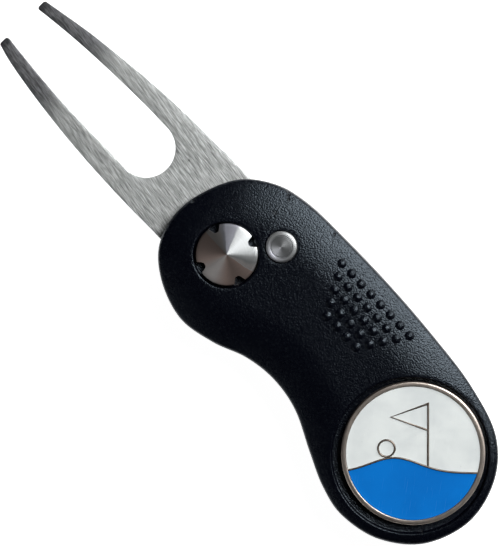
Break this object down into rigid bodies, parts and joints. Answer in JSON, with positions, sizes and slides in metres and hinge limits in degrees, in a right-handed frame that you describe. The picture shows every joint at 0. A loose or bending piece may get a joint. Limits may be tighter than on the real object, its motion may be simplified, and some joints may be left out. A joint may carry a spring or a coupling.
{
  "type": "divot repair tool",
  "caption": "Folding golf divot tool: a sprung two-tine fork pivots into a bean-shaped two-part handle with a release button and a magnetic ball marker.",
  "frame": {"origin": "middle of the open tool's footprint, on the plane of the rear face", "axes": "+X from the fork's tips towards the ball marker, +Y towards the handle's convex spine, +Z out of the front face"},
  "size_m": [0.1172, 0.0334, 0.0126],
  "materials": {
    "cover_plastic": "fine pebble texture, black",
    "brushed_steel": "brushed along the length",
    "turned_steel": "fine circular turning",
    "spring_steel": "oiled dark steel",
    "zinc_steel": "zinc plated",
    "washer_bronze": "plain bronze",
    "marker_nickel": "warm nickel plate",
    "enamel_white": "polished enamel",
    "enamel_blue": "polished enamel"
  },
  "bodies": {
    "handle": {"front_cover": "cover_plastic", "rear_cover": "cover_plastic", "pivot_cap": "turned_steel", "pivot_screw": "zinc_steel", "front_washer": "washer_bronze", "rear_washer": "washer_bronze", "torsion_spring": "spring_steel", "lock_spring": "spring_steel", "lock_screw": "zinc_steel", "stop_pin": "zinc_steel", "cover_screw_1": "zinc_steel", "cover_screw_2": "zinc_steel", "cover_screw_3": "zinc_steel", "cover_screw_4": "zinc_steel", "marker_magnet": "zinc_steel"},
    "fork": {"fork": "brushed_steel"},
    "button": {"release_button": "turned_steel"},
    "marker": {"marker_base": "marker_nickel", "enamel_sky": "enamel_white", "enamel_hill": "enamel_blue", "enamel_flag": "enamel_white", "enamel_ball": "enamel_white"}
  },
  "joints": [
    {"name": "fork_hinge", "type": "hinge", "parent": "handle", "child": "fork", "pos_m": [-0.0042, -0.00017, 0.00645], "axis": [0, 0, 1], "range_deg": [0, 186], "stiffness_Nm_per_rad": 0.006, "springref_deg": -85.94, "deforming": ["torsion_spring"]},
    {"name": "button_slide", "type": "slide", "parent": "handle", "child": "button", "axis": [0, 0, -1], "range_m": [0, 0.0015], "stiffness_N_per_m": 1500, "springref_m": -0.001, "deforming": ["lock_spring"]},
    {"name": "marker_lift", "type": "slide", "parent": "handle", "child": "marker", "axis": [0, 0, 1], "range_m": [0, 0.02]}
  ]
}
